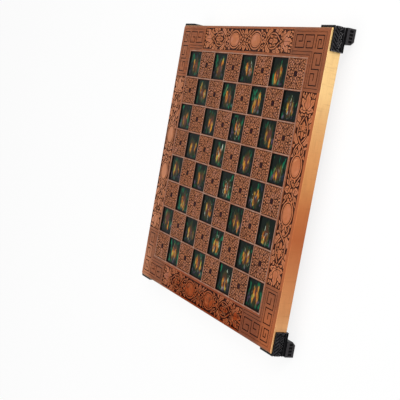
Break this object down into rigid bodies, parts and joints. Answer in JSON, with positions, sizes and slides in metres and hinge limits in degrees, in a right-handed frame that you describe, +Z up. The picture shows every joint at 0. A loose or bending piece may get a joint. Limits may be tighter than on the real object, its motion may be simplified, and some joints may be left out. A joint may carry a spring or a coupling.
{
  "type": "carved chessboard with enamel squares",
  "caption": "Square carved wooden chessboard with inlaid dark enamel squares, Greek key corners, pale edge rails and black cast corner feet.",
  "frame": {"origin": "on the floor plane under the board's centre, where the four foot pads rest", "axes": "+Z up through the playing face, -Y towards the first player, +X along that player's rank from file a to file h"},
  "size_m": [0.4886, 0.4886, 0.0415],
  "materials": {
    "stained_carving": "brown stained carved wood, satin oil, darker in the cuts",
    "enamel": "glossy dark enamel with teal, amber and maroon marbling",
    "dot_enamel": "glossy deep plum enamel",
    "pale_hardwood": "clear oiled pale hardwood",
    "core_plywood": "raw plywood",
    "back_veneer": "oiled veneered panel",
    "black_casting": "black cast metal with relief, semi-matt",
    "pad_rubber": "matt rubber",
    "screw_steel": "blackened steel"
  },
  "bodies": {
    "root": {"carved_top": "stained_carving", "enamel_tile_a1": "enamel", "enamel_tile_a3": "enamel", "enamel_tile_a5": "enamel", "enamel_tile_a7": "enamel", "enamel_tile_b2": "enamel", "enamel_tile_b4": "enamel", "enamel_tile_b6": "enamel", "enamel_tile_b8": "enamel", "enamel_tile_c1": "enamel", "enamel_tile_c3": "enamel", "enamel_tile_c5": "enamel", "enamel_tile_c7": "enamel", "enamel_tile_d2": "enamel", "enamel_tile_d4": "enamel", "enamel_tile_d6": "enamel", "enamel_tile_d8": "enamel", "enamel_tile_e1": "enamel", "enamel_tile_e3": "enamel", "enamel_tile_e5": "enamel", "enamel_tile_e7": "enamel", "enamel_tile_f2": "enamel", "enamel_tile_f4": "enamel", "enamel_tile_f6": "enamel", "enamel_tile_f8": "enamel", "enamel_tile_g1": "enamel", "enamel_tile_g3": "enamel", "enamel_tile_g5": "enamel", "enamel_tile_g7": "enamel", "enamel_tile_h2": "enamel", "enamel_tile_h4": "enamel", "enamel_tile_h6": "enamel", "enamel_tile_h8": "enamel", "centre_dots": "dot_enamel", "edge_rail_front": "pale_hardwood", "edge_rail_back": "pale_hardwood", "edge_rail_left": "pale_hardwood", "edge_rail_right": "pale_hardwood", "core_panel": "core_plywood", "back_panel": "back_veneer", "corner_bracket_back_right": "black_casting", "corner_bracket_back_left": "black_casting", "corner_bracket_front_left": "black_casting", "corner_bracket_front_right": "black_casting", "foot_pad_back_right": "pad_rubber", "foot_pad_back_left": "pad_rubber", "foot_pad_front_left": "pad_rubber", "foot_pad_front_right": "pad_rubber", "bracket_screws": "screw_steel"}
  },
  "joints": []
}
